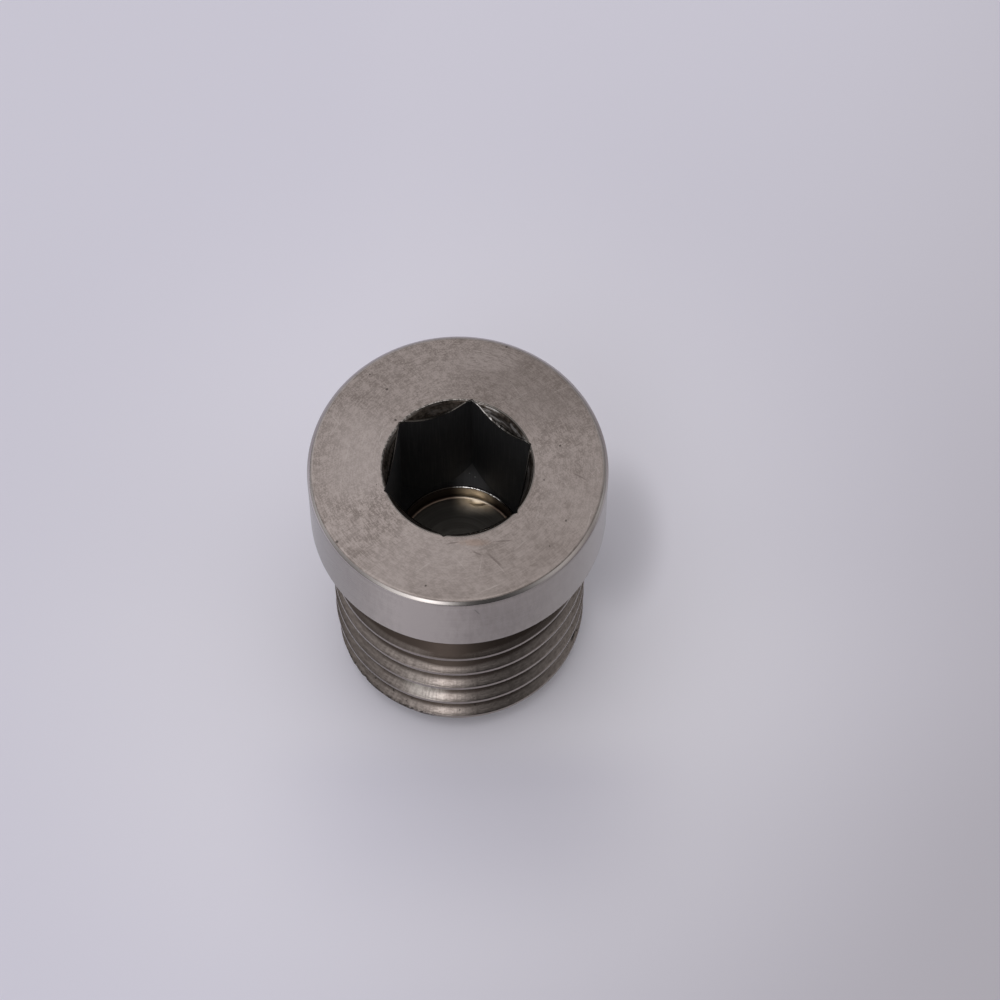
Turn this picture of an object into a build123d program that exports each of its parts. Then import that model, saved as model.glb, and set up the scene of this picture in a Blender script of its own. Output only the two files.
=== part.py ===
from build123d import *
import math
import os

# Hex socket plug: a flanged screw plug turned in one piece from stainless bar, with a thread undercut
# below the head and a right-hand coarse thread.
# Millimetres. The plug stands on its threaded end: z = 0 is the end face and the origin is its centre,
# and +Z runs along the axis to the top of the head. The front of the plug is -Y.

# Thread, ISO metric form, M14 x 2
thread_diameter = 14.0
thread_pitch = 2.0
# Direction, seen from above, in which the first groove leaves the end face
thread_start_angle = 150.0

# Shank, from the end face up to the seating face under the head
shank_length = 14.0
end_face_diameter = 11.0
neck_diameter = 11.0
# Undercut from the seating face down to the full thread diameter
neck_length = 3.4
neck_shoulder_angle = 45.0
neck_fillet = 0.5

# Head
head_diameter = 16.0
head_height = 5.2
head_top_chamfer = 0.2
head_bottom_chamfer = 0.12

# Hex socket for a 7 mm key, with depths measured down from the top of the head
hex_across_flats = 7.1
hex_turn = 20.0
hex_depth = 7.6
# Half angle of the cone that the hex corners run out on
corner_runout_angle = 17.0
mouth_diameter = 8.0
mouth_half_angle = 30.0
pilot_diameter = 6.9
pilot_depth = 10.6
pilot_floor_chamfer = 0.15

# Values that follow from the sizes above
head_top = shank_length + head_height
thread_radius = thread_diameter / 2
neck_radius = neck_diameter / 2
head_radius = head_diameter / 2
thread_top = shank_length - neck_length
hex_corner_radius = hex_across_flats / 2 / math.cos(math.radians(30))

# ISO thread form, as shares of the pitch: the crest is an eighth wide, the flanks lean 30 degrees
# and the external root lies 17/24 of the sharp vee's height below the crest
flank_slope = math.tan(math.radians(30))
crest_width = thread_pitch / 8
thread_depth = thread_pitch * 17 / 24 * math.cos(math.radians(30))


def revolved(*points):
    """Turn a closed outline of (radius, height) points about the plug's axis."""
    outline = make_face(Plane.XZ * Polyline(*points, close=True))
    return revolve(outline, Axis.Z)


def turned_blank():
    """The plain bar before threading: shank with its end chamfer, undercut neck and head."""
    end_radius = end_face_diameter / 2
    end_chamfer = thread_radius - end_radius
    shoulder_rise = (thread_radius - neck_radius) * math.tan(math.radians(neck_shoulder_angle))
    blank = revolved(
        (0, 0),
        (end_radius, 0),
        (thread_radius, end_chamfer),
        (thread_radius, thread_top),
        (neck_radius, thread_top + shoulder_rise),
        (neck_radius, shank_length),
        (head_radius, shank_length),
        (head_radius, head_top),
        (0, head_top),
    )
    neck_corner = blank.edges().filter_by(GeomType.CIRCLE).filter_by(
        lambda edge: abs(edge.radius - neck_radius) < 0.001 and abs(edge.center().Z - shank_length) < 0.001
    )
    blank = fillet(neck_corner, neck_fillet)
    head_rims = blank.edges().filter_by(GeomType.CIRCLE).filter_by(
        lambda edge: abs(edge.radius - head_radius) < 0.001
    )
    blank = chamfer(head_rims.sort_by(Axis.Z)[-1], head_top_chamfer)
    bottom_rim = blank.edges().filter_by(GeomType.CIRCLE).filter_by(
        lambda edge: abs(edge.radius - head_radius) < 0.001 and abs(edge.center().Z - shank_length) < 0.001
    )
    return chamfer(bottom_rim, head_bottom_chamfer)


def groove_turn():
    """One turn of the helical groove, closed at both ends by flat caps that the next turn meets."""
    tool_overhang = thread_pitch * 0.07
    root_radius = thread_radius - thread_depth
    outer_radius = thread_radius + tool_overhang
    groove_half = (thread_pitch - crest_width) / 2
    root_half = groove_half - thread_depth * flank_slope
    outer_half = groove_half + tool_overhang * flank_slope
    corners = [
        (root_radius, -root_half),
        (outer_radius, -outer_half),
        (outer_radius, outer_half),
        (root_radius, root_half),
    ]
    rails = [
        Pos(0, 0, height) * Helix(pitch=thread_pitch, height=thread_pitch, radius=radius)
        for radius, height in corners
    ]
    faces = []
    for rail, next_rail in zip(rails, rails[1:] + rails[:1]):
        faces.append(Face.make_surface_from_curves(rail.edge(), next_rail.edge()))
    for end in (0, 1):
        cap = Polyline(*[rail @ end for rail in rails], close=True)
        faces.append(Face(Wire(cap.edges())))
    return Solid(Shell(faces))


def threaded(blank):
    """Cut the groove turn by turn, from below the end face until it runs out in the neck."""
    turn = Rot(0, 0, thread_start_angle) * groove_turn()
    turns = math.ceil(thread_top / thread_pitch) + 1
    for number in range(turns):
        blank -= Pos(0, 0, (number - 1) * thread_pitch) * turn
    return blank


def hex_socket():
    """The socket's space: pilot bore, broached hexagon with run-out corners, and chamfered mouth."""
    pilot_radius = pilot_diameter / 2
    mouth_radius = mouth_diameter / 2
    clear_above = 1.0
    pilot = revolved(
        (0, head_top - pilot_depth),
        (pilot_radius - pilot_floor_chamfer, head_top - pilot_depth),
        (pilot_radius, head_top - pilot_depth + pilot_floor_chamfer),
        (pilot_radius, head_top + clear_above),
        (0, head_top + clear_above),
    )
    runout = (hex_corner_radius - pilot_radius) / math.tan(math.radians(corner_runout_angle))
    hexagon = Rot(0, 0, hex_turn) * RegularPolygon(hex_across_flats / 2, 6, major_radius=False)
    prism = Pos(0, 0, head_top + clear_above) * extrude(hexagon, -(hex_depth + runout + clear_above))
    broach_reach = revolved(
        (0, head_top - hex_depth - runout),
        (pilot_radius, head_top - hex_depth - runout),
        (hex_corner_radius, head_top - hex_depth),
        (hex_corner_radius + clear_above, head_top - hex_depth),
        (hex_corner_radius + clear_above, head_top + clear_above),
        (0, head_top + clear_above),
    )
    mouth_flare = clear_above * math.tan(math.radians(mouth_half_angle))
    mouth = revolved(
        (0, head_top - mouth_radius / math.tan(math.radians(mouth_half_angle))),
        (mouth_radius + mouth_flare, head_top + clear_above),
        (0, head_top + clear_above),
    )
    return pilot + (prism & broach_reach) + mouth


plug = threaded(turned_blank()) - hex_socket()

os.makedirs("parts", exist_ok=True)
export_step(plug, "parts/plug.step")
print("volume", round(plug.volume, 1), "mm3, height", round(plug.bounding_box().size.Z, 3), "mm")
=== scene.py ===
# %% [markdown]
# # Hex socket plug
# A stainless screw plug, turned in one piece: a round head with a hexagon socket, a thin neck
# under it and a right-hand coarse thread. This notebook loads its fixed model, builds a finer
# skin with the same sizes, gives every surface its own machined finish, and sets up a pale
# studio round it.

# %% Load the fixed model
import math

import bmesh
import bpy
from mathutils import Matrix, Vector, noise


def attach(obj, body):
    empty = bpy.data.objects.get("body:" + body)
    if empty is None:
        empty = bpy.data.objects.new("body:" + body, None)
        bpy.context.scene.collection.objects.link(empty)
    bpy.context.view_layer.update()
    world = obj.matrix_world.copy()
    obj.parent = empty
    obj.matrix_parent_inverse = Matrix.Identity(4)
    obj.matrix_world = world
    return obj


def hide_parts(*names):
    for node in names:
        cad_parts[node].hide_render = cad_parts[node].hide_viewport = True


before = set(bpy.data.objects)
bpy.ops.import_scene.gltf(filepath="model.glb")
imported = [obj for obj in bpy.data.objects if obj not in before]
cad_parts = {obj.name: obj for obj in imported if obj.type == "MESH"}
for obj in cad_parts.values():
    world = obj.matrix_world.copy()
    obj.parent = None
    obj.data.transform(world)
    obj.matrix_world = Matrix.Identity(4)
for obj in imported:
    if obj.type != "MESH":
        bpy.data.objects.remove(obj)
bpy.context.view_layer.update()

print("nodes:", sorted(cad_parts))

# %% [markdown]
# ## Sizes
# The fine skin has to lie exactly where the fixed model lies, so it repeats the plug's own
# sizes. They are in millimetres, because that is how a turner reads them, and Blender works
# in metres, so one factor turns one into the other when a point is made.

# %% Sizes of the plug, in millimetres
MM = 0.001

THREAD_RADIUS = 7.0
PITCH = 2.0
# The root lies 17/24 of the sharp vee's height below the crest
ROOT_RADIUS = THREAD_RADIUS - PITCH * 17 / 24 * math.cos(math.radians(30))
# Direction in which the first groove leaves the end face
THREAD_START = 150
# The middle of a crest passes this height where the angle is zero
CREST_HEIGHT_AT_ZERO = PITCH / 2 - PITCH * THREAD_START / 360

END_RADIUS = 5.5
NECK_RADIUS = 5.5
THREAD_TOP = 10.6
SEAT_HEIGHT = 14.0
NECK_FILLET = 0.5
HEAD_RADIUS = 8.0
HEAD_TOP = 19.2

HEX_INRADIUS = 3.55
HEX_CORNER_RADIUS = HEX_INRADIUS / math.cos(math.radians(30))
HEX_TURN = 20
HEX_DEPTH = 7.6
RUNOUT_TAN = math.tan(math.radians(17))
MOUTH_RADIUS = 4.0
MOUTH_TAN = math.tan(math.radians(30))
PILOT_RADIUS = 3.45
PILOT_DEPTH = 10.6
PILOT_CORNER = 0.15

print("thread root radius", round(ROOT_RADIUS, 3), "hexagon corner", round(HEX_CORNER_RADIUS, 3))

# %% [markdown]
# ## How the skin is laid out
# Everything on this plug is either turned, so it is round, or follows a helix, or is a
# hexagon. All three can be drawn as columns: at each angle round the axis, one line runs
# from the middle of the end face, out, up the thread, round the head and down the socket to
# its floor. Neighbouring columns joined by quads make a closed skin. Screwing a cylinder
# with a modifier would not give the feathered ends of the thread, and cutting with booleans
# leaves long thin faces that shade badly, so the columns are worked out point by point.
#
# The rows of the thread climb with the helix. After a full turn each row has climbed one
# pitch and meets the row that lies one pitch higher.

# %% The thread's form
COLUMNS = 360

# Half of one pitch, as distance from the middle of the crest and depth below it. The flat
# crest and the root have slightly rounded edges, as a cut thread has.
CREST_TO_ROOT = [
    (0.0, 0.0), (0.07, 0.0), (0.105, 0.003), (0.132, 0.022), (0.160, 0.061),
    (0.235, 0.1905), (0.33, 0.355), (0.43, 0.528), (0.53, 0.7015), (0.63, 0.8747),
    (0.72, 1.0306), (0.785, 1.138), (0.835, 1.203), (0.895, 1.2269), (1.0, 1.2269),
]


def thread_depth_at(away):
    """Depth of the groove below the crest, at a distance along the axis from the crest."""
    for (near, shallow), (far, deep) in zip(CREST_TO_ROOT, CREST_TO_ROOT[1:]):
        if away <= far:
            return shallow + (deep - shallow) * (away - near) / (far - near)
    return CREST_TO_ROOT[-1][1]


def crest_offset(angle, height):
    """Distance along the axis from the nearest crest, between minus and plus half a pitch."""
    climb = height - CREST_HEIGHT_AT_ZERO - PITCH * angle / 360
    return (climb + PITCH / 2) % PITCH - PITCH / 2


print("points in one pitch:", 2 * (len(CREST_TO_ROOT) - 1))

# %% The turned bar that the thread is cut into
def bar_radius(height):
    """Radius of the shank before threading: end chamfer, full diameter, shoulder, neck."""
    chamfered = END_RADIUS + height
    shoulder = THREAD_RADIUS - (height - THREAD_TOP)
    return max(NECK_RADIUS, min(THREAD_RADIUS, chamfered, shoulder))


def shank_radius(angle, height):
    """Radius of the threaded shank, with the nicks in its feathered first crest."""
    threaded = THREAD_RADIUS - thread_depth_at(abs(crest_offset(angle, height)))
    radius = min(bar_radius(height), threaded)
    return radius - nick(angle, height, radius)


print("bar radius at 0.75, 5 and 11.5 mm:", [round(bar_radius(h), 2) for h in (0.75, 5, 11.5)])

# %% [markdown]
# ### Nicks on the first crest
# Where the end chamfer shaves the first turn of the thread, the crest gets thin as a feather
# and the tool leaves it ragged. Nicks could be cut one by one, but noise looks less planned:
# a little of it bites into the radius there, and only there.

# %% Nicks
RAGGED_MIDDLE = -132
RAGGED_HALF = 28
# The chamfered crest lies between these heights and outside this radius
RAGGED_BOTTOM, RAGGED_TOP = 0.7, 1.9
RAGGED_RADIUS = 6.2
NICK_DEPTH = 0.045


def swell(value, low, high):
    """Zero below low, one above high and a smooth step between."""
    share = min(1.0, max(0.0, (value - low) / (high - low)))
    return share * share * (3 - 2 * share)


def degrees_between(angle, middle):
    """How far one direction round the axis is from another, from 0 to 180."""
    return abs((angle - middle + 180) % 360 - 180)


def nick(angle, height, radius):
    """How far the ragged start of the thread is bitten in, in millimetres."""
    along = 1 - swell(degrees_between(angle, RAGGED_MIDDLE), RAGGED_HALF * 0.75, RAGGED_HALF)
    if along == 0 or not RAGGED_BOTTOM <= height <= RAGGED_TOP or radius < RAGGED_RADIUS:
        return 0.0
    bite = swell(noise.noise(Vector((angle * 0.55, height * 3.0, 4.0))), 0.05, 0.5)
    return NICK_DEPTH * along * bite


print("deepest nick:", round(max(nick(a / 2, 1.35, 6.8) for a in range(720)), 3), "mm")

# %% [markdown]
# ## Rows of the shank
# The row heights follow the thread's form turn after turn. Rows that would lie below the end
# face or above the shoulder are pressed flat onto it and their doubled points are merged
# afterwards. Rows near the edges of the chamfer and the shoulder are moved onto them, so
# that they come out crisp.

# %% Rows of the shank
# A little above the shoulder, where the plain neck has begun
SHANK_TOP = 12.15
SHOULDER_TOP = THREAD_TOP + THREAD_RADIUS - NECK_RADIUS
CRISP_HEIGHTS = (THREAD_RADIUS - END_RADIUS, THREAD_TOP, SHOULDER_TOP)

one_pitch = [-away for away, depth in reversed(CREST_TO_ROOT[1:])]
one_pitch += [away for away, depth in CREST_TO_ROOT[:-1]]
turns_of_rows = math.ceil(SHANK_TOP / PITCH) + 2
shank_rows = [
    CREST_HEIGHT_AT_ZERO + PITCH * (turn - 1) + offset
    for turn in range(turns_of_rows)
    for offset in one_pitch
]


def row_heights(angle):
    """Heights of the shank's rows at one angle, pressed between the end face and the neck."""
    heights = [row + PITCH * angle / 360 for row in shank_rows]
    for crisp in CRISP_HEIGHTS:
        nearest = min(range(len(heights)), key=lambda k: abs(heights[k] - crisp))
        heights[nearest] = crisp
    return [min(SHANK_TOP, max(0.0, height)) for height in heights]


print("rows in the shank:", len(shank_rows), "of which", len(one_pitch), "to a pitch")

# %% [markdown]
# ## Neck, head and socket
# Above the thread the plug is plainly turned, so its outline is a list of points that every
# column shares. Each sharp edge has a few points close together, because a real edge is
# never perfectly sharp and the thin bright lines on it come from that small round.
#
# The socket differs from column to column. A hexagon's wall stands at a radius that changes
# with the angle, the mouth's cone meets it lower in the middle of a flat than at a corner,
# and the corners run out on a cone into the round pilot hole.

# %% Outline of the neck and the head
def arc(centre_radius, centre_height, size, start, stop, steps):
    """Points on a small arc in the outline, with angles in degrees from outward."""
    points = []
    for step in range(steps + 1):
        turn = math.radians(start + (stop - start) * step / steps)
        across, up = size * math.cos(turn), size * math.sin(turn)
        points.append((centre_radius + across, centre_height + up))
    return points


neck_outline = [(NECK_RADIUS, height) for height in (12.5, 13.1, 13.44)]
neck_outline += arc(NECK_RADIUS + NECK_FILLET, SEAT_HEIGHT - NECK_FILLET, NECK_FILLET, 180, 90, 6)

seat_outline = [(radius, SEAT_HEIGHT) for radius in (6.06, 6.7, 7.4, 7.84)]
seat_outline += [(7.872, 14.002), (7.9, 14.016), (7.984, 14.1)]

side_outline = [(7.998, 14.128)]
side_outline += [(HEAD_RADIUS, height) for height in (14.16, 14.5, 15.5, 16.6, 17.7, 18.6, 18.88)]
side_outline += [(7.998, 18.92), (7.988, 18.957), (7.967, 18.992), (7.935, 19.028)]
side_outline += [(7.893, 19.071), (7.85, 19.114), (7.812, 19.15)]

top_outline = [(7.775, 19.176), (7.735, 19.192), (7.69, 19.199)]
TOP_RADII = (7.64, 7.5, 7.1, 6.6, 6.1, 5.6, 5.1, 4.7, 4.4, 4.2, 4.1)
top_outline += [(radius, HEAD_TOP) for radius in TOP_RADII]
turned_points = neck_outline + seat_outline + side_outline + top_outline
print("turned points above the thread:", len(turned_points))

# %% Directions and depths in the socket
BURR_MIDDLE = 72
BURR_SIZE = 0.05


def hexagon_radius(angle):
    """Distance from the axis to the hexagon's wall in this direction."""
    from_flat = (angle - HEX_TURN) % 60 - 30
    return HEX_INRADIUS / math.cos(math.radians(from_flat))


def runout_depth(radius):
    """Depth at which the cone below the hexagon's corners has this radius."""
    return HEX_DEPTH + (HEX_CORNER_RADIUS - radius) / RUNOUT_TAN


def burr(angle):
    """A ragged little lip that the broach throws up at the back corner."""
    near_corner = 1 - swell(degrees_between(angle, BURR_MIDDLE), 6, 13)
    return BURR_SIZE * near_corner * noise.noise(Vector((angle * 0.9, 7.0, 1.0)))


wall_radii = [round(hexagon_radius(angle), 3) for angle in (HEX_TURN, HEX_TURN + 30)]
print("wall of the socket at a corner and a flat:", wall_radii)

# %% Mouth of the socket
# Steps outward and down round the rim
RIM_ROUND = ((0.05, 0.0), (0.028, 0.005), (0.008, 0.02), (-0.008, 0.045))
RIM_DROP = 0.045
LIP_ROOM = 0.05
# The hexagon's corners just break the rim, and there the cone is only this deep
LEAST_DROP = 0.12


def mouth_points(rim, wall, mouth_drop):
    """Round the rim and down the cone, to just above the lip."""
    points = [(rim + out, HEAD_TOP - drop, "edge") for out, drop in RIM_ROUND]
    for share in (0.1, 0.3, 0.5, 0.7, 0.85):
        drop = RIM_DROP + (mouth_drop - LIP_ROOM - RIM_DROP) * share
        points.append((max(wall + 0.03, rim - drop * MOUTH_TAN), HEAD_TOP - drop, "mouth"))
    return points


def lip_points(angle, wall, mouth_drop):
    """The lip between cone and wall, worn unevenly and with a burr at the back."""
    lip = 0.012 + 0.018 * noise.noise(Vector((angle * 0.8, 2.0, 5.0))) + burr(angle)
    height = HEAD_TOP - mouth_drop
    return [
        (wall + 0.024 - lip * 0.2, height + 0.042 + lip * 0.3, "lip"),
        (wall - lip, height + 0.012 + lip * 0.3, "lip"),
        (wall - lip, height - 0.02, "lip"),
    ]


print("steps round the rim:", len(RIM_ROUND))

# %% Walls, ledge and pilot hole
# The wall starts this far below the middle of the lip
WALL_START = 0.03
LEDGE_RADIUS = PILOT_RADIUS + 0.075
# Steps inward and down round the edge of the pilot hole
LEDGE_ROUND = ((0.004, 0.012), (0.03, 0.03), (0.064, 0.046), (0.075, 0.075))
FLOOR_RADII = (3.27, 2.9, 2.4, 1.9, 1.4, 0.9, 0.4)


def wall_points(wall, mouth_drop):
    """Down the wall and the cone that its corners run out on, over the ledge."""
    end, ledge = runout_depth(wall), runout_depth(LEDGE_RADIUS)
    points = []
    for share in (0.02, 0.1, 0.3, 0.55, 0.8, 0.96):
        drop = mouth_drop + WALL_START + (end - mouth_drop - WALL_START) * share
        points.append((wall, HEAD_TOP - drop, "wall"))
    for share in (0.04, 0.35, 0.7, 0.97):
        radius = wall + (LEDGE_RADIUS - wall) * share
        points.append((radius, HEAD_TOP - (end + (ledge - end) * share), "runout"))
    for inward, drop in LEDGE_ROUND:
        points.append((LEDGE_RADIUS - inward, HEAD_TOP - ledge - drop, "ledge"))
    return points + [(PILOT_RADIUS, HEAD_TOP - ledge - 0.16, "pilot")]


def floor_points():
    """Down the pilot hole, round its small corner and over the drilled floor."""
    depths = (9.8, 10.1, PILOT_DEPTH - 0.17)
    points = [(PILOT_RADIUS, HEAD_TOP - depth, "pilot") for depth in depths]
    corner_height = HEAD_TOP - PILOT_DEPTH + PILOT_CORNER
    corner = arc(PILOT_RADIUS - PILOT_CORNER, corner_height, PILOT_CORNER, 0, -90, 5)
    points += [(radius, height, "pilot") for radius, height in corner]
    points += [(radius, HEAD_TOP - PILOT_DEPTH, "floor") for radius in FLOOR_RADII]
    return points


def socket_outline(angle):
    """Points of the socket, from its rim to its floor, with surface names."""
    wall = hexagon_radius(angle)
    rim = max(MOUTH_RADIUS, wall)
    mouth_drop = max((rim - wall) / MOUTH_TAN, LEAST_DROP)
    points = mouth_points(rim, wall, mouth_drop) + lip_points(angle, wall, mouth_drop)
    return points + wall_points(wall, mouth_drop) + floor_points()


print("points down the socket:", len(socket_outline(50)))

# %% [markdown]
# ## Joining the columns
# Every column gives the same number of points, so column by column the quads follow without
# any search. Only the thread rows need care at the seam, where row k of the last column
# meets row k plus one pitch of the first. The name carried by each point says which finish
# the quad below it gets.

# %% Points of one column
FINISHES = ["top", "side", "thread", "neck", "end", "edge", "mouth", "wall", "pilot", "floor"]
FINISH_OF = {"lip": "edge", "runout": "wall", "ledge": "edge"}
END_RADII = (1.2, 2.6, 4.0, 5.2)


def column_points(angle):
    """Radius, height and name of the points: end face, thread, and all above it."""
    end = [(radius, 0.0, "end") for radius in END_RADII]
    thread = [(shank_radius(angle, height), height, "thread") for height in row_heights(angle)]
    above = [(radius, height, "neck") for radius, height in neck_outline + seat_outline]
    above += [(radius, height, "side") for radius, height in side_outline]
    above += [(radius, height, "top") for radius, height in top_outline]
    return end, thread, above + socket_outline(angle)


def place(mesh, angle, radius, height):
    """Add one vertex at an angle, a radius and a height given in millimetres."""
    turn = math.radians(angle)
    x, y = radius * math.cos(turn), radius * math.sin(turn)
    return mesh.verts.new((x * MM, y * MM, height * MM))


print("points in a column:", sum(len(part) for part in column_points(0)))

# %% Join them into the skin
def quad(skin, corners, name):
    """Add one face with its finish, unless its corners have all but run together."""
    if len({tuple(round(value * 1e7) for value in corner.co) for corner in corners}) > 2:
        face = skin.faces.new(corners)
        face.material_index = FINISHES.index(FINISH_OF.get(name, name))
        face.smooth = True


def ribbon(skin, here, there, name=None):
    """Join two columns, with the finish that is given or that each point names."""
    for k in range(len(here) - 1):
        corners = [here[k][0], there[k][0], there[k + 1][0], here[k + 1][0]]
        quad(skin, corners, name or here[k + 1][1])


def build_skin():
    """Make the whole plug as one closed mesh whose faces carry their finish."""
    skin = bmesh.new()
    columns = []
    for column in range(COLUMNS):
        angle = 360 * column / COLUMNS
        columns.append([
            [(place(skin, angle, radius, height), name) for radius, height, name in part]
            for part in column_points(angle)
        ])
    end_middle = skin.verts.new((0, 0, 0))
    floor_middle = skin.verts.new((0, 0, (HEAD_TOP - PILOT_DEPTH) * MM))
    for column in range(COLUMNS):
        end_here, thread_here, above_here = columns[column]
        end_there, thread_there, above_there = columns[(column + 1) % COLUMNS]
        lift = len(one_pitch) if column == COLUMNS - 1 else 0
        quad(skin, [end_middle, end_there[0][0], end_here[0][0]], "end")
        ribbon(skin, end_here + [thread_here[0]], end_there + [thread_there[lift]], "end")
        ribbon(skin, thread_here[:len(thread_here) - lift], thread_there[lift:])
        ribbon(skin, [thread_here[-1]] + above_here, [thread_there[-1]] + above_there)
        quad(skin, [above_here[-1][0], above_there[-1][0], floor_middle], "floor")
    bmesh.ops.remove_doubles(skin, verts=skin.verts, dist=2e-7)
    bmesh.ops.dissolve_degenerate(skin, dist=1e-7, edges=skin.edges)
    bmesh.ops.recalc_face_normals(skin, faces=skin.faces)
    mesh = bpy.data.meshes.new("plug_skin")
    skin.to_mesh(mesh)
    open_edges = sum(1 for edge in skin.edges if not edge.is_manifold)
    skin.free()
    return mesh, open_edges


skin_mesh, open_edges = build_skin()
skin_mesh.calc_loop_triangles()
plug = bpy.data.objects.new("plug_body", skin_mesh)
bpy.context.scene.collection.objects.link(plug)
print("triangles:", len(skin_mesh.loop_triangles), "edges that are not closed:", open_edges)

# %% [markdown]
# ## Writing shader maths as sums
# Most of the finish is worked out from a point's place on the plug, and that takes many Math
# nodes. Wrapping a socket in a small class lets them be written as sums in Python: each
# operator adds one Math node and hands back its output. Any other node comes from one
# method, which sets the node up first and then fills or links its inputs.

# %% A socket that can be used in sums
class Value:
    """An output socket, which can be added, scaled and compared like a number."""

    def __init__(self, nodes, socket):
        self.nodes = nodes
        self.socket = socket

    def maths(self, operation, *terms):
        return self.nodes.node("ShaderNodeMath", {"operation": operation}, *terms)

    def __add__(self, other):
        return self.maths("ADD", self, other)

    def __radd__(self, other):
        return self.maths("ADD", other, self)

    def __sub__(self, other):
        return self.maths("SUBTRACT", self, other)

    def __rsub__(self, other):
        return self.maths("SUBTRACT", other, self)

    def __mul__(self, other):
        return self.maths("MULTIPLY", self, other)

    def __rmul__(self, other):
        return self.maths("MULTIPLY", other, self)

    def __truediv__(self, other):
        return self.maths("DIVIDE", self, other)

    def __rtruediv__(self, other):
        return self.maths("DIVIDE", other, self)

    def __pow__(self, other):
        return self.maths("POWER", self, other)

    def __rpow__(self, other):
        return self.maths("POWER", other, self)

    def size(self):
        return self.maths("ABSOLUTE", self)

    def exponential(self):
        return self.maths("EXPONENT", self)

    def least(self, other):
        return self.maths("MINIMUM", self, other)

    def most(self, other):
        return self.maths("MAXIMUM", self, other)

    def step(self, low, high):
        """Zero at low and one at high, smooth between. With low above high it falls instead."""
        inputs = {"From Min": low, "From Max": high}
        if low > high:
            inputs = {"From Min": high, "From Max": low, "To Min": 1.0, "To Max": 0.0}
        settings = {"interpolation_type": "SMOOTHSTEP"}
        return self.nodes.node("ShaderNodeMapRange", settings, Value=self, **inputs)

    def band(self, start, full, waning, end):
        """Zero up to start, one from full to waning, and zero again from end on."""
        return self.step(start, full) * self.step(end, waning)

    def near(self, middle, reach, core=0.0):
        """One within core of the middle, falling to zero at reach from it."""
        return (self - middle).size().step(reach, core)


print("sums ready")

# %% Adding nodes to a tree
class Nodes:
    """A node tree and the one way to add to it."""

    def __init__(self, owner):
        owner.use_nodes = True
        self.tree = owner.node_tree

    def fill(self, node, inputs):
        """Link inputs to values, or set them to numbers, vectors or colours."""
        for key, value in inputs.items():
            socket = node.inputs[key]
            if isinstance(value, Value):
                self.tree.links.new(value.socket, socket)
            elif socket.type == "RGBA":
                socket.default_value = (*value, 1.0)
            else:
                socket.default_value = value

    def node(self, kind, settings, *ordered, output=0, **named):
        """Add a node: its settings are set first, then its inputs by order or by name."""
        new = self.tree.nodes.new(kind)
        for setting, value in settings.items():
            setattr(new, setting, value)
        self.fill(new, {**dict(enumerate(ordered)), **named})
        return Value(self, new.outputs[output])


print("node helper ready")

# %% A finish
class Finish(Nodes):
    """A material under construction. Places on the plug are given in millimetres."""

    def __init__(self, name):
        self.material = bpy.data.materials.new(name)
        super().__init__(self.material)
        self.shader = self.tree.nodes["Principled BSDF"]
        raw = self.node("ShaderNodeTexCoord", {}, output="Object")
        scale = {"operation": "SCALE"}
        self.place = self.node("ShaderNodeVectorMath", scale, Vector=raw, Scale=1 / MM)
        split = self.node("ShaderNodeSeparateXYZ", {}, self.place).socket.node
        self.x, self.y, self.z = (Value(self, axis) for axis in split.outputs)

    def radius(self):
        return (self.x * self.x + self.y * self.y) ** 0.5

    def angle(self):
        """Direction round the axis in turns, from minus to plus a half."""
        return self.y.maths("ARCTAN2", self.y, self.x) / math.tau

    def facing(self, degrees, reach, core=0.0):
        """One towards a direction round the axis, zero beyond reach, all in degrees."""
        return self.angle().near(degrees / 360, reach / 360, core / 360)

    def noise(self, scale, detail=4.0, roughness=0.55, where=None):
        """Fractal noise between zero and one, its scale in waves per millimetre."""
        inputs = {"Scale": scale, "Detail": detail, "Roughness": roughness}
        return self.node("ShaderNodeTexNoise", {}, Vector=where or self.place, **inputs)

    def stretched(self, x, y, z=0.0, detail=3.0, roughness=0.55):
        """Fractal noise read at a place made of other values, one wave to each unit."""
        where = self.node("ShaderNodeCombineXYZ", {}, x, y, z)
        return self.noise(1.0, detail, roughness, where)

    def blend(self, share, first, second):
        """Mix two colours."""
        mix = self.node("ShaderNodeMix", {"data_type": "RGBA"}, share, output=2)
        self.fill(mix.socket.node, {6: first, 7: second})
        return mix

    def metal(self, colour, roughness, height, strength, distance, glancing=1.0):
        """Bare metal with a bump. A low glancing value keeps it dark when seen edge on."""
        bump = {"Height": height, "Strength": strength, "Distance": distance * MM}
        inputs = {"Base Color": colour, "Roughness": roughness, "Metallic": 1.0}
        inputs["Specular Tint"] = (glancing, glancing, glancing)
        inputs["Normal"] = self.node("ShaderNodeBump", {}, **bump)
        self.fill(self.shader, inputs)
        return self.material


def made(material):
    """What to print of a finished material."""
    return f"{material.name.replace('_', ' ')}: {len(material.node_tree.nodes)} nodes"


print("finish helper ready")

# %% [markdown]
# ## Marks, scratches and grain
# Handling leaves short scratches, round specks, soft oval patches and faint hairlines. An
# image of them would blur close up, so each is worked out from the distance to a line, a
# point or an oval, or from squeezed noise.

# %% Single marks
def segment_mask(flat, start, stop, width):
    """One short scratch between two points of a flat pair of coordinates."""
    run = (stop[0] - start[0], stop[1] - start[1])
    length = math.hypot(*run)
    along_u, along_v = run[0] / length, run[1] / length
    du, dv = flat[0] - start[0], flat[1] - start[1]
    along = du * along_u + dv * along_v
    across = (dv * along_u - du * along_v).size()
    inside = along.band(0.0, length * 0.3, length * 0.7, length)
    return across.step(width, width * 0.3) * inside


def oval_mask(flat, middle, half_width, half_depth, core=0.0):
    """A soft oval patch. The core is the share of it, by area, that has full strength."""
    du, dv = (flat[0] - middle[0]) / half_width, (flat[1] - middle[1]) / half_depth
    return (du * du + dv * dv).step(1.0, core)


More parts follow.
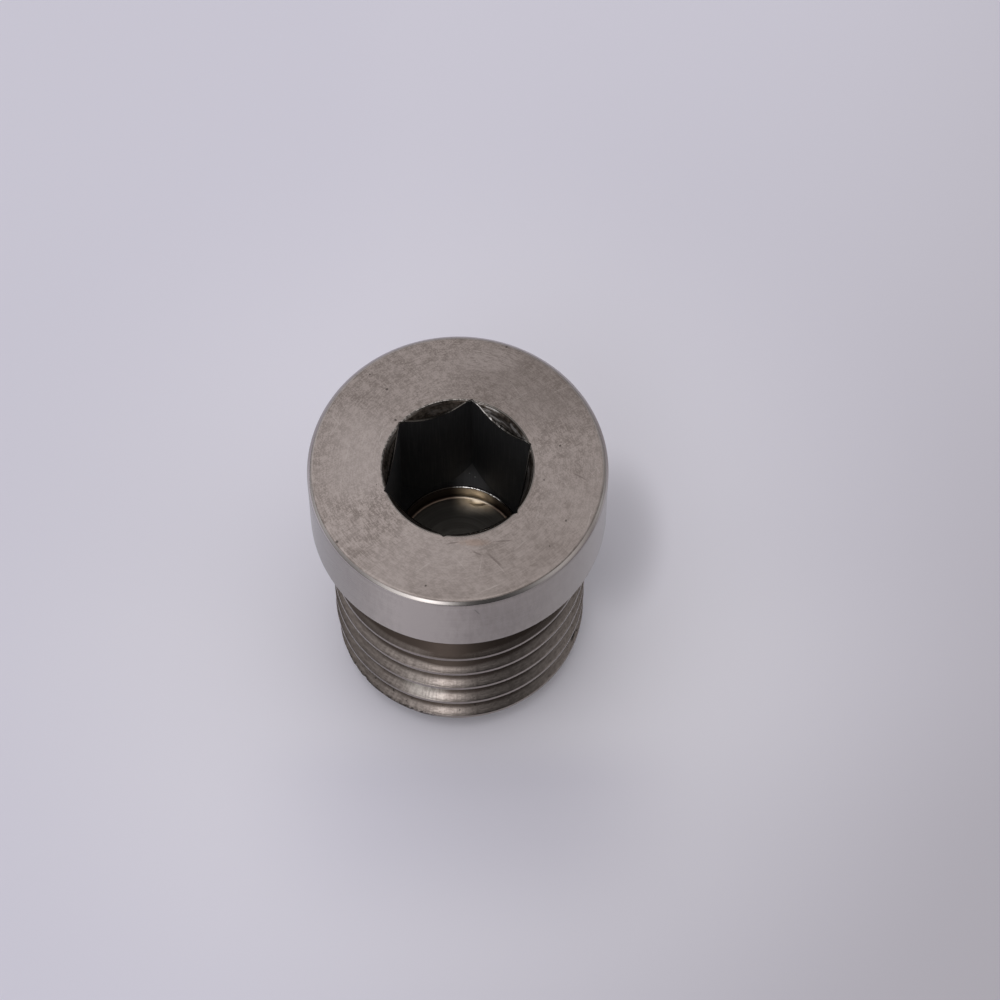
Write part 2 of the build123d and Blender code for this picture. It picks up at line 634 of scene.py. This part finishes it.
def spot_mask(flat, middle, reach):
    """A small round mark."""
    return oval_mask(flat, middle, reach, reach, 0.2)


def any_of(masks):
    """The strongest of several masks at each place."""
    strongest = masks[0]
    for mask in masks[1:]:
        strongest = strongest.most(mask)
    return strongest


print("marks ready")

# %% Scratches and grain in one direction
def turned_axes(finish, degrees):
    """Distance along and across a direction of the flat face."""
    turn = math.radians(degrees)
    along = finish.x * math.cos(turn) + finish.y * math.sin(turn)
    return along, finish.y * math.cos(turn) - finish.x * math.sin(turn)


def hairlines(finish, degrees, density, seed=0.0):
    """Many faint straight scratches in one direction, in patches."""
    along, across = turned_axes(finish, degrees)
    lines = finish.stretched(along * 0.35 + seed, across * density, finish.z * 0.3, detail=2.0)
    patches = finish.noise(0.35, detail=1.0)
    return lines.step(0.66, 0.74) * patches.step(0.42, 0.6)


def swept(finish, degrees):
    """Short scratchy grain that lies in one direction."""
    along, across = turned_axes(finish, degrees)
    return finish.stretched(along * 1.7, across * 13.0, degrees, roughness=0.75)


print("scratches ready")

# %% [markdown]
# ## Satin face of the head
# The top was faced on a lathe and then rubbed dull by handling. Fine rings from the tool
# still show, faint scratches cross them in all directions, and patches of slightly warmer
# and cooler grey cloud the metal. The rings are noise read along the radius alone, the
# scratches are noise squeezed along one direction, and the clouds are plain noise. Shade is
# painted in as well, darker towards the back right, and painted highlights lie over the
# rubbing as paler patches at the left, front and back, and along the rim at the back.

# %% Single marks on the face
# Start, stop and width of scratches, place and reach of spots, in millimetres
DARK_MARKS = [
    ((6.05, -0.25), (6.9, -0.75), 0.05),
    ((-0.6, -4.5), (0.2, -4.35), 0.05),
    ((1.85, -4.35), (3.0, -4.25), 0.06),
    ((1.5, -4.9), (2.5, -5.9), 0.09),
    ((0.8, -4.9), (1.35, -5.15), 0.06),
    ((-4.4, -2.6), (-3.9, -3.1), 0.05),
]
LIGHT_MARKS = [
    ((3.1, -4.75), (3.75, -4.1), 0.05),
    ((7.2, 0.3), (7.6, -0.4), 0.04),
    ((-2.2, -6.2), (-1.2, -5.4), 0.05),
    ((-6.9, 1.8), (-6.3, 2.6), 0.04),
]
SPOTS = [((-3.84, 4.63), 0.09), ((-4.77, 5.52), 0.06), ((2.56, 7.24), 0.07), ((-6.3, -4.4), 0.1)]
print("marks:", len(DARK_MARKS), "dark,", len(LIGHT_MARKS), "light,", len(SPOTS), "spots")

# %% Tones of the face
def face_tones(face, clouds, grain, mottle, rings):
    """Faced metal with clouds and fine grain, and painted shade darker towards the back right."""
    clouded = face.blend(clouds.step(0.36, 0.64), (0.21, 0.179, 0.162), (0.28, 0.243, 0.224))
    crumbs = face.noise(13.0, detail=2.0, roughness=0.8)
    front = face.y.step(-2.5, -5.5)
    crisp = (face.y - face.x * 0.6).step(-8.0, 1.0) * 0.4 + 0.33
    sharp = crumbs * (0.35 - front * 0.3) + grain * 0.75 + mottle * 0.35 + rings * 0.1
    fine = (sharp + front * 0.15).step(0.695, 0.855)
    grained = face.blend(fine * crisp, clouded, (0.47, 0.41, 0.385))
    # Painted shade: darker towards the back, and in an oval at the back right
    corner = oval_mask((face.x, face.y), (4.4, 5.2), 5.657, 4.0)
    return face.blend(face.y.step(-5.0, 6.0) * 0.27 + corner * 0.3, grained, (0.135, 0.112, 0.1))


def rubbed_and_highlighted_face(face, tones, round_way):
    """Paler patches of painted highlight over the rubbing at the left, front and back, and a
    painted highlight on the rim at the back.
    """
    flat = (face.x, face.y)
    # Painted highlights over the rubbing: paler ovals at the left, front and back
    left = oval_mask(flat, (-5.4, 0.9), 3.038, 3.4641) * (face.x.step(-7.4, -5.8) * 0.6 + 0.4)
    front = oval_mask(flat, (-1.6, -5.6), 4.0, 2.3094)
    back = oval_mask(flat, (1.7, 6.4), 2.0, 0.9354, 0.143) * round_way.step(0.35, 0.55)
    rubbed = any_of([left * 0.44, front * 0.3, back * 0.3])
    paler = face.blend(rubbed, tones, (0.43, 0.38, 0.36))
    # Painted highlight along the rim at the back
    rim = face.radius().step(7.68, 7.75) * face.y.step(-3.0, 2.0)
    return face.blend(rim * 0.35, paler, (0.8, 0.755, 0.73))


print("tones ready")

# %% Marks and finish of the face
def marked_face(face, rubbed_and_highlighted, scratches, mottle):
    """The face with its scratches, specks and one brown stain."""
    flat = (face.x, face.y)
    dark = any_of([segment_mask(flat, *mark) for mark in DARK_MARKS])
    light = any_of([segment_mask(flat, *mark) for mark in LIGHT_MARKS])
    stray = face.noise(3.4, detail=0.0).step(0.14, 0.11)
    specks = any_of([stray] + [spot_mask(flat, *spot) for spot in SPOTS])
    stain = oval_mask(flat, (0.9, -4.4), 1.0541, 0.26726) * mottle.step(0.3, 0.5)
    scratched = face.blend(any_of([scratches * 0.2, light * 0.25]), rubbed_and_highlighted, (0.5, 0.455, 0.43))
    marked = face.blend(dark * 0.55, scratched, (0.13, 0.105, 0.095))
    speckled = face.blend(specks * 0.8, marked, (0.06, 0.05, 0.045))
    return face.blend(stain * 0.35, speckled, (0.3, 0.2, 0.145))


def satin_face():
    """Faced and handled metal of the top of the head."""
    face = Finish("satin_face")
    clouds = face.noise(0.55, detail=5.0, roughness=0.6)
    mottle = face.noise(2.3, roughness=0.7)
    radius, angle = face.radius(), face.angle()
    round_way = face.stretched(radius * 13.0, angle * 62.0, roughness=0.75)
    rings = face.stretched(radius * 9.0, angle * 3.0, detail=4.0, roughness=0.65)
    grain = round_way * 0.4 + swept(face, 35) * 0.3 + swept(face, -50) * 0.3
    hairs = ((25, 7.0, 0.0), (-52, 8.0, 5.0), (78, 6.0, 9.0))
    scratches = any_of([hairlines(face, *hair) for hair in hairs])
    rubbed_and_highlighted = rubbed_and_highlighted_face(face, face_tones(face, clouds, grain, mottle, rings), round_way)
    colour = marked_face(face, rubbed_and_highlighted, scratches, mottle)
    roughness = 0.36 + clouds * 0.12 + grain * 0.1 - scratches * 0.05
    height = rings * 0.6 + grain * 0.6 + mottle * 0.5 - scratches * 0.3
    return face.metal(colour, roughness, height, 0.4, 0.012)


top_material = satin_face()
print(made(top_material))

# %% [markdown]
# ## Turned side of the head
# The cylinder of the head was finished with a fine cut and is the smoothest surface of the
# plug, a little cooler in colour, with only hair-fine rings round it and a few small marks.
# Real grooves this fine would take millions of faces, so the rings are noise read along the
# height. The chamfer above it was cut last and is brighter. A painted highlight runs down
# the front of the side and painted shade darkens its left and right. The chamfer's colour
# is painted too, brighter in front as highlight and duller towards the right and the back
# as shade.

# %% Turned side
def cut_chamfer(side):
    """Colour of the chamfer: painted highlight bright in front, painted shade duller towards the
    right and the back.
    """
    right = side.blend(side.x.step(4.0, 6.5), (0.6, 0.56, 0.535), (0.4, 0.36, 0.34))
    outer = side.blend(side.y.step(-2.0, 1.5), (0.7, 0.66, 0.635), (0.43, 0.395, 0.375))
    # Painted shade where the chamfer turns away from the light: at the back and far left and right
    away = any_of([side.y.step(0.0, 4.0), side.x.step(-6.0, -7.4), side.x.step(7.0, 7.7)])
    return side.blend(away, right, outer)


def turned_side():
    """Finely turned cylinder of the head, with its brightly cut chamfer."""
    side = Finish("turned_side")
    clouds = side.noise(0.5)
    grain = side.noise(9.0, detail=2.0)
    rings = side.stretched(side.z * 12.0, side.angle() * 1.5, roughness=0.65)
    streaks = side.stretched(side.angle() * 150.0, side.z * 0.5, detail=4.0, roughness=0.7)
    chamfer = side.z.step(18.93, 18.98)
    toned = side.blend(clouds.step(0.3, 0.7), (0.28, 0.249, 0.222), (0.335, 0.302, 0.27))
    # Painted highlight: a paler band down the front of the side
    lit = side.facing(-104, 27)
    bright = streaks.step(0.3, 0.7) * 0.35 + rings.step(0.3, 0.7) * 0.25 + lit * 0.85
    ringed = side.blend(bright, toned, (0.5, 0.457, 0.412))
    # Painted shade: darker towards the left and right edges of the side
    dim = side.x.step(-3.5, -7.4) * 0.66 + side.x.step(-1.5, 7.6) * 0.46
    shaded = side.blend(dim, ringed, (0.14, 0.122, 0.108))
    scratch = segment_mask((side.x, side.z), (0.9, 18.6), (1.27, 17.7), 0.05)
    marked = side.blend(scratch * side.y.step(0.0, -5.0) * 0.6, shaded, (0.1, 0.09, 0.08))
    colour = side.blend(chamfer, marked, cut_chamfer(side))
    roughness = (0.15 + clouds * 0.06 + grain * 0.04) * (1.0 - chamfer * 0.35)
    height = rings * (1.0 - chamfer) + grain * 0.1
    return side.metal(colour, roughness, height, 0.8, 0.012)


side_material = turned_side()
print(made(side_material))

# %% [markdown]
# ## Cut thread
# A thread is cut in many passes and comes out grainier than the turned parts, and the
# hollows keep some of the brown oil and grime of the shop, while the crests are rubbed
# bright. Painted shade darkens the hollows as well, and more of it lies on the top turns
# under the neck. A painted highlight lies on the flanks at the front, and painted shade
# darkens the left and right sides. The distance from the nearest crest is the key to it, and
# it comes from the height, less what the helix has climbed at that angle.

# %% Dirt, painted shade and damage of the thread
def thread_grime_and_shade(thread, grain, clouds):
    """Dirt and painted shade in the hollows, and more painted shade, with some oil, on the turns
    under the neck.
    """
    # Painted shade in the hollows under each crest, on top of the dirt
    hollow = thread.radius().step(6.8, 6.42)
    # Painted shade on the top turns under the head, with some oil; the lower band is stronger in
    # front
    shade_in_front = thread.x.band(-2.5, -0.5, 0.0, 2.0) * 0.3 + 0.25
    oily = thread.z.step(8.5, 9.7) * 0.55 + thread.z.step(7.0, 7.8) * shade_in_front
    return (hollow * 1.1 + grain * 0.4 + clouds * 0.4 + oily).step(0.6, 1.55)


def thread_pits(thread):
    """Small dark pits, a few more of them on the lowest turn."""
    lowest = thread.z.step(3.4, 2.4) * 0.1
    return (thread.noise(5.0, detail=1.0) - lowest).step(0.22, 0.17)


def thread_ragged(thread, away, clouds):
    """Blackened places on the nicked first crest."""
    torn = thread.noise(7.0, detail=2.0) + clouds * 0.5
    crest = away.step(0.2, 0.1) * thread.z.step(2.1, 1.8)
    return thread.facing(RAGGED_MIDDLE, 36, 25.2) * crest * torn.step(0.66, 0.78)


print("dirt ready")

# %% Thread
def thread_colour(thread, away, fine, streaks, grime_and_shade):
    """Grey flanks, hollows darkened by dirt and painted shade, a painted highlight at the front,
    rubbed crests, and painted shade at the left and right.
    """
    x, z = thread.x, thread.z
    base = thread.blend(fine, (0.165, 0.14, 0.127), (0.345, 0.302, 0.276))
    dirty_and_shaded = thread.blend(grime_and_shade, base, (0.06, 0.047, 0.04))
    # Painted highlight on the flanks at the front
    shine = x.near(-2.0, 1.7, 0.2) * z.band(2.2, 3.2, 5.0, 6.2)
    shining = thread.blend(shine * (streaks.step(0.3, 0.6) * 0.35 + 0.1), dirty_and_shaded, (0.7, 0.66, 0.61))
    crest = away.step(0.15, 0.10) * thread.radius().step(6.75, 6.92)
    rubbed = thread.blend(crest * 0.8, shining, (0.36, 0.32, 0.287))
    # Painted shade: darker towards the left and right sides of the thread
    left = x.step(-3.0, -5.2) * 0.28 + x.step(-2.2, -3.4) * z.step(7.2, 6.4) * 0.16
    return thread.blend(left + x.step(3.5, 6.0) * 0.3, rubbed, (0.03, 0.024, 0.02))


def cut_thread():
    """Threaded shank, with brighter crests, grainy flanks, and dirt and painted shade in the
    hollows.
    """
    thread = Finish("cut_thread")
    climb = thread.z - CREST_HEIGHT_AT_ZERO - thread.angle() * PITCH
    wrapped = climb.maths("WRAP", climb, PITCH / 2, -PITCH / 2)
    away, angle = wrapped.size(), thread.angle()
    clouds = thread.noise(0.7, detail=3.0)
    coarse = (angle * 132.0, wrapped * 15.0, thread.radius() * 9.0)
    grain = thread.stretched(*coarse, roughness=0.75)
    streaks = thread.stretched(angle * 242.0, wrapped * 1.3, detail=4.0, roughness=0.7)
    lines = thread.stretched(wrapped * 12.0, angle * 9.0, roughness=0.6)
    middle = thread.x.near(-1.0, 5.0, 2.0)
    mixed = grain * 0.6 + streaks * (0.1 + middle * 0.3) + (1.0 - middle) * 0.15
    grime_and_shade = thread_grime_and_shade(thread, grain, clouds)
    clean = thread_colour(thread, away, mixed.step(0.36, 0.64), streaks, grime_and_shade)
    pits, ragged = thread_pits(thread), thread_ragged(thread, away, clouds)
    chip = spot_mask((thread.x, thread.z), (6.42, 2.4), 0.18) * thread.y.step(0.0, -1.0)
    black = any_of([pits * 0.75, ragged * 0.95, chip])
    colour = thread.blend(black, clean, (0.02, 0.018, 0.016))
    roughness = 0.13 + grain * 0.08 + grime_and_shade * 0.12 + ragged * 0.5
    height = grain * 0.4 + streaks * middle * 0.4 + lines * 0.4 - pits
    return thread.metal(colour, roughness, height, 0.5, 0.009)


thread_material = cut_thread()
print(made(thread_material))

# %% [markdown]
# ## Rubbed edges, with painted light
# Keys and fingers polish the rim of the socket and the lip where its cone meets the walls.
# These bands are only as wide as a hair, but they give the hole its bright outline. An even
# line would look drawn, so quick noise round the hole breaks it up, and slower noise leaves
# whole stretches dull. The bright stretch of the ledge at the back is a painted highlight,
# the bright lip at the back is partly wear and partly painted highlight, and the ledge deep
# in the hole is painted darker as shade.

# %% Rubbed edges, with painted highlight and shade
def worn_and_highlighted_lip(edge, breaks, patches, deep):
    """Bright stretches of the lip at the back, mostly right of the corner: partly wear, partly
    painted highlight.
    """
    lip = edge.z.step(19.15, 19.12) * edge.y.step(0.5, 2.2) * (1.0 - deep)
    fading = edge.x.step(0.5, 1.2) * (edge.x.step(2.9, 1.7) * 0.75 + 0.15)
    right = fading + edge.x.step(3.2, 3.7) * 0.4
    broken = breaks.step(0.42, 0.5) * patches.step(0.42, 0.54) * right * 0.8
    return lip * (broken + edge.x.near(1.0, 0.8, 0.2) * 0.45).least(1.0)


def rubbed_edge_light_and_shade():
    """Polished steel on the narrow edges of the socket, with painted highlights at the back and
    painted shade deep in the hole.
    """
    edge = Finish("rubbed_edge_light_and_shade")
    quick = (edge.angle() * 170.0, edge.z * 5.0, edge.radius() * 5.0)
    breaks = edge.stretched(*quick, roughness=0.7)
    patches = edge.stretched(edge.angle() * 34.0, edge.z * 2.0, detail=2.0, roughness=0.7)
    rim = edge.z.step(19.08, 19.15)
    deep = edge.z.step(12.0, 10.5)
    uneven = breaks.step(0.38, 0.5) * (patches.step(0.35, 0.5) * 0.6 + 0.4)
    # Painted highlight: a bright stretch of the ledge at the back, broken by noise
    ledge_highlight = deep * edge.facing(71, 26.64, 18) * uneven
    torn_rim = (edge.x - edge.y * 0.5).step(1.0, -2.5) * breaks.step(0.42, 0.58) * rim
    # Painted shade: the ledge deep in the hole is darker
    dark = edge.blend(deep, (0.085, 0.077, 0.07), (0.04, 0.033, 0.028))
    plain = edge.blend(edge.y.step(1.0, -2.0) * rim, dark, (0.2, 0.178, 0.165))
    dull = edge.blend(torn_rim * 0.7, plain, (0.34, 0.31, 0.29))
    # Bright lip at the back: partly wear, partly painted highlight
    lip_wear_and_highlight = worn_and_highlighted_lip(edge, breaks, patches, deep)
    colour = edge.blend(lip_wear_and_highlight.most(ledge_highlight), dull, (0.88, 0.85, 0.82))
    return edge.metal(colour, 0.12 + breaks * 0.16, breaks, 0.3, 0.01)


edge_material = rubbed_edge_light_and_shade()
print(made(edge_material))

# %% [markdown]
# ## Neck and seat
# The undercut below the head is turned with a round-nosed tool and never touched again, so
# it holds a film of old oil that has browned. The film could be a coat on the shader, but it
# is so thin that a darker, warmer colour near the axis shows it.

# %% Neck and seat
def oiled_neck():
    """Undercut neck and the seating face under the head."""
    neck = Finish("oiled_neck")
    radius = neck.radius()
    grain = neck.noise(5.0, detail=3.0)
    rings = neck.stretched(neck.z * 10.0 + radius * 10.0, neck.angle() * 2.0, detail=2.0)
    clean = neck.blend(grain.step(0.3, 0.7), (0.36, 0.32, 0.3), (0.48, 0.44, 0.42))
    colour = neck.blend(radius.step(6.6, 5.7) * 0.8, clean, (0.2, 0.165, 0.145))
    return neck.metal(colour, 0.3 + grain * 0.12, rings, 0.35, 0.012)


neck_material = oiled_neck()
print(made(neck_material))

# %% [markdown]
# ## End face
# The plug was parted off and faced at this end. It rests on the bench and carries coarser
# rings and a few rub marks, made as those of the top are.

# %% End face
def faced_end():
    """Flat end that the plug stands on."""
    end = Finish("faced_end")
    grain = end.noise(4.0, detail=3.0)
    rings = end.stretched(end.radius() * 6.0, end.angle() * 1.5)
    rubs = any_of([hairlines(end, 40, 6.0), hairlines(end, -30, 7.0, 3.0)])
    mixed = (grain * 0.4 + rings * 0.6).step(0.35, 0.65)
    toned = end.blend(mixed, (0.42, 0.385, 0.37), (0.57, 0.53, 0.51))
    colour = end.blend(rubs * 0.5, toned, (0.66, 0.62, 0.6))
    height = rings + grain * 0.4 - rubs * 0.4
    return end.metal(colour, 0.34 + grain * 0.12 - rubs * 0.06, height, 0.4, 0.015)


end_material = faced_end()
print(made(end_material))

# %% [markdown]
# ## Socket
# A broach shears the hexagon out of a drilled hole. Its drag lines run straight down the
# walls, and the oil that it leaves makes them almost black. The cone at the mouth is cut
# with a countersink, so its streaks run round, and the drilled pilot hole below the hexagon
# has a brown stain with rings on its floor. Each of these is noise stretched the way that its
# tool moved. A painted sheen lies deep in the back corner of the hexagon, and a painted
# bronze reflection and a painted glint lie at the back of the pilot hole.

# %% Mouth cone
def streaked_mouth():
    """Countersunk cone at the mouth, dull and streaked."""
    mouth = Finish("streaked_mouth")
    radius, angle = mouth.radius(), mouth.angle()
    streaks = mouth.stretched(radius * 14.0, angle * 9.0, detail=4.0, roughness=0.65)
    drags = mouth.stretched(radius * 6.5, angle * 15.0, 3.0, roughness=0.6)
    grain = mouth.noise(5.0, roughness=0.75)
    dark = mouth.blend(grain.step(0.35, 0.65), (0.06, 0.047, 0.038), (0.22, 0.183, 0.152))
    fine = streaks.step(0.5, 0.75) * grain.step(0.35, 0.6) * 0.75
    streaked = mouth.blend(fine, dark, (0.46, 0.42, 0.39))
    band = mouth.z.step(19.0, 18.75) * mouth.x.step(0.8, 1.6) * streaks.step(0.35, 0.6)
    banded = mouth.blend(band * 0.45, streaked, (0.4, 0.385, 0.38))
    right = mouth.x.step(0.6, 1.4) * mouth.y.step(-0.5, 1.0)
    furrows = drags.step(0.5, 0.4) * (right * 0.5 + 0.2)
    ridges = drags.step(0.53, 0.64) * (right * 0.75 + 0.15)
    furrowed = mouth.blend(furrows, banded, (0.045, 0.036, 0.03))
    colour = mouth.blend(ridges, furrowed, (0.85, 0.82, 0.8))
    return mouth.metal(colour, 0.3 + streaks * 0.15, streaks, 0.5, 0.012)


mouth_material = streaked_mouth()
print(made(mouth_material))

# %% Broached wall
# Place and reach of the bright chips at the back
CHIPS = [((0.86, 10.55), 0.07), ((0.55, 10.75), 0.05)]


def broached_wall():
    """Hexagon walls with straight drag lines, dark oil and a painted sheen deep at the back."""
    wall = Finish("broached_wall")
    drag = wall.stretched(wall.angle() * 260.0, wall.z * 0.35, roughness=0.6)
    grain = wall.noise(3.0, detail=2.0)
    cone_height = HEAD_TOP - HEX_DEPTH - (HEX_CORNER_RADIUS - wall.radius()) / RUNOUT_TAN
    runout = (wall.z - cone_height).step(0.08, 0.02)
    # Painted sheen deep in the back corner, strongest on the run-out cone
    back = wall.facing(77, 23.4, 5.4) * wall.z.step(12.2, 10.3)
    sheen = (runout * 0.7 + 0.3) * back * (0.5 + drag * 0.4)
    chips = any_of([spot_mask((wall.x, wall.z), *chip) for chip in CHIPS])
    oily = wall.blend(drag.step(0.4, 0.8), (0.1, 0.1, 0.105), (0.15, 0.148, 0.152))
    shining = wall.blend(sheen, oily, (0.6, 0.6, 0.62))
    colour = wall.blend(chips * wall.y.step(0.0, 3.0), shining, (0.95, 0.95, 0.95))
    roughness = 0.55 + grain * 0.08 + sheen * 0.1
    return wall.metal(colour, roughness, drag, 0.3, 0.008, glancing=0.85)


wall_material = broached_wall()
print(made(wall_material))

# %% Pilot hole and floor
def painted_back_reflection(finish, reach):
    """Painted reflection at the back of the hole: one there, zero elsewhere."""
    return finish.x.near(0.95, 1.5, 0.2) * finish.y.step(3.0 - reach, 3.1)


def drilled_bore():
    """Drilled wall of the pilot hole, with a painted bronze reflection at the back."""
    bore = Finish("drilled_bore")
    rings = bore.stretched(bore.z * 9.0, bore.angle() * 3.0)
    dark = bore.blend(rings.step(0.3, 0.7), (0.1, 0.07, 0.052), (0.17, 0.125, 0.097))
    # Painted bronze reflection at the back of the hole
    colour = bore.blend(painted_back_reflection(bore, 0.3), dark, (0.95, 0.82, 0.64))
    return bore.metal(colour, 0.4 + rings * 0.1, rings, 0.3, 0.01, glancing=0.7)


def drilled_floor():
    """Flat floor of the pilot hole with the drill's rings, a painted bronze reflection at the back
    and one small tilted dimple painted bright as a glint.
    """
    floor = Finish("drilled_floor")
    rings = floor.stretched(floor.radius() * 6.0, floor.angle() * 1.5, roughness=0.6)
    grain = floor.noise(3.0, detail=2.0)
    dark = floor.blend(rings.step(0.3, 0.7), (0.065, 0.06, 0.053), (0.10, 0.095, 0.084))
    # A small tilted dent: the bump tilts it, and its colour is a painted glint
    dent_and_glint = oval_mask((floor.x, floor.y), (1.05, 3.12), 0.5831, 0.30689)
    # Painted bronze reflection at the back of the floor
    patch = painted_back_reflection(floor, 0.9) * (0.4 + grain * 0.5)
    colour = floor.blend(patch.most(dent_and_glint), dark, (0.97, 0.86, 0.7))
    height = rings + dent_and_glint * (floor.y - 3.4) * 34.0
    return floor.metal(colour, 0.3 + grain * 0.1, height, 0.35, 0.012)


bore_material = drilled_bore()
floor_material = drilled_floor()
print(made(bore_material), made(floor_material))

# %% Give each surface its finish
# In the order of FINISHES
for finish_material in (
    top_material, side_material, thread_material, neck_material, end_material,
    edge_material, mouth_material, wall_material, bore_material, floor_material,
):
    skin_mesh.materials.append(finish_material)
skin_mesh.set_sharp_from_angle(angle=math.radians(40))
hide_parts("plug")
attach(plug, "root")
print("finishes on the plug:", [material.name for material in skin_mesh.materials])

# %% [markdown]
# ## Studio
# The plug stands on a pale sheet, a little brighter at the back left, towards the light. A
# lamp could make that fade but would light the plug too, so the sheet's colour carries it,
# and with it painted light round the plug, weaker in front, and a painted shadow at its right.

# %% Sheet
HALF_SHEET = 2.0
# The sheet lies a hair below the end face, so that the two don't share one plane
SHEET_DROP = 0.00002


def sheet_fade(sheet):
    """The slow fade across the paper."""
    across = (sheet.x - sheet.y * 0.45).step(-8.0, 50.0)
    faded = sheet.blend(across, (0.76, 0.747, 0.845), (0.545, 0.527, 0.572))
    front = sheet.y.step(-3.0, -14.0) * sheet.x.step(-16.0, 8.0)
    darkened = sheet.blend(front * 0.045, faded, (0.0, 0.0, 0.0))
    back = sheet.y.step(2.0, 24.0) * sheet.x.step(-9.0, -3.0)
    return sheet.blend(back * 0.045, darkened, (1.0, 0.98, 1.0))


def pale_sheet():
    """Matt pale paper, with painted light round the plug, less of it in front, and a painted
    shadow at its right.
    """
    sheet = Finish("pale_sheet")
    # Painted light round the plug, held back in a band in front as painted shadow
    front = sheet.y.band(-22.0, -13.0, -10.5, -6.5) * sheet.x.near(0.0, 15.0, 4.0)
    right = sheet.x.band(-6.0, 6.0, 9.0, 26.0) * sheet.y.step(-14.0, -4.0)
    near = 0.65 + 0.25 * sheet.y.step(6.0, -2.0) + 0.4 * right
    close = sheet.radius().step(34.0, 8.0) * near * (1.0 - front * 0.75)
    lighter = sheet.blend(close * 0.6, sheet_fade(sheet), (0.95, 0.935, 0.99))
    # Painted shadow at the right of the plug
    shade = oval_mask((sheet.x, sheet.y), (8.8, 5.2), 3.873, 6.5465)
    colour = sheet.blend(shade ** 1.7 * 0.4, lighter, (0.3, 0.29, 0.32))
    sheet.fill(sheet.shader, {"Base Color": colour, "Roughness": 0.8, "Specular IOR Level": 0.2})
    return sheet.material


def build_sheet():
    """A flat square, four metres across."""
    builder = bmesh.new()
    bmesh.ops.create_grid(builder, x_segments=4, y_segments=4, size=HALF_SHEET)
    mesh = bpy.data.meshes.new("sheet")
    builder.to_mesh(mesh)
    builder.free()
    return mesh


sheet = bpy.data.objects.new("sheet", build_sheet())
sheet.location.z = -SHEET_DROP
sheet.data.materials.append(pale_sheet())
bpy.context.scene.collection.objects.link(sheet)
print("sheet", round(sheet.dimensions.x, 2), "m across")

# %% [markdown]
# ## Light
# Bare metal shows its surroundings more than its own colour, so what matters is which way
# the light comes from, and how wide each source is. Lamps have hard corners, and a
# mirror-smooth chamfer would show them, so the room is painted on the world as a few soft
# glows: each is brightest in one direction and fades with the angle from it. A sharp glow is
# a window, a wide one is a wall.

# %% Glows of the room
# Azimuth and elevation in degrees, sharpness, strength
GLOWS = [
    (-140, 66, 12.0, 0.80),
    (-155, 42, 12.0, 0.14),
    (0, 90, 16.0, 1.75),
    (95, 45, 9.0, 0.44),
    (115, 16, 5.0, 0.25),
    (150, 60, 9.0, 0.55),
    (175, 22, 8.0, 0.42),
    (-120, 20, 12.0, 0.45),
    (-22, 20, 13.0, 0.56),
    (18, 28, 6.0, 0.38),
    (-110, 55, 145.0, 2.5),
    (-124, 22, 45.0, 0.42),
    (-106, 25, 60.0, 1.6),
]
ROOM_GREY = 0.04


def direction_to(azimuth, elevation):
    """Unit vector towards a point of the sky, in degrees."""
    turn, lift = math.radians(azimuth), math.radians(elevation)
    return (math.cos(lift) * math.cos(turn), math.cos(lift) * math.sin(turn), math.sin(lift))


class Room(Nodes):
    """The world, which takes the same sums as a finish does."""

    def __init__(self, name):
        self.world = bpy.data.worlds.new(name)
        super().__init__(self.world)
        self.background = self.tree.nodes["Background"]
        self.direction = self.node("ShaderNodeTexCoord", {}, output="Generated")

    def glow(self, azimuth, elevation, sharpness, strength):
        """One soft source, brightest in its own direction."""
        middle = direction_to(azimuth, elevation)
        dot = {"operation": "DOT_PRODUCT"}
        towards = self.node("ShaderNodeVectorMath", dot, self.direction, middle, output="Value")
        return ((towards - 1) * sharpness).exponential() * strength


room = Room("room")
brightness = ROOM_GREY
for glow in GLOWS:
    brightness = room.glow(*glow) + brightness
room.fill(room.background, {"Strength": brightness, "Color": (1.0, 0.985, 1.0)})
bpy.context.scene.world = room.world
print("glows in the room:", len(GLOWS))

# %% [markdown]
# ## Camera
# The camera looks down at 64 degrees from the front through a long lens, which keeps the
# round head and the thread below it in one calm view. A constraint could point it, but a
# pitch and a slight roll say plainly how it is held.

# %% Camera
CAMERA_PLACE = Vector((2.249, -93.78, 209.33)) * MM
CAMERA_PITCH = math.radians(64.21)
CAMERA_ROLL = math.radians(0.33)

forward = Vector((0, math.cos(CAMERA_PITCH), -math.sin(CAMERA_PITCH)))
level_right = Vector((1, 0, 0))
level_up = level_right.cross(forward)
right = level_right * math.cos(CAMERA_ROLL) + level_up * math.sin(CAMERA_ROLL)
up = level_up * math.cos(CAMERA_ROLL) - level_right * math.sin(CAMERA_ROLL)
turned = Matrix((right, up, -forward)).transposed().to_4x4()

lens = bpy.data.cameras.new("camera")
lens.lens = 144
lens.sensor_width = 36
lens.sensor_fit = "HORIZONTAL"
lens.clip_start = 0.01
lens.clip_end = 20
camera = bpy.data.objects.new("camera", lens)
camera.matrix_world = Matrix.Translation(CAMERA_PLACE) @ turned
bpy.context.scene.collection.objects.link(camera)
bpy.context.scene.camera = camera
bpy.context.scene.view_settings.view_transform = "Standard"
print("camera at", [round(value, 4) for value in camera.location])
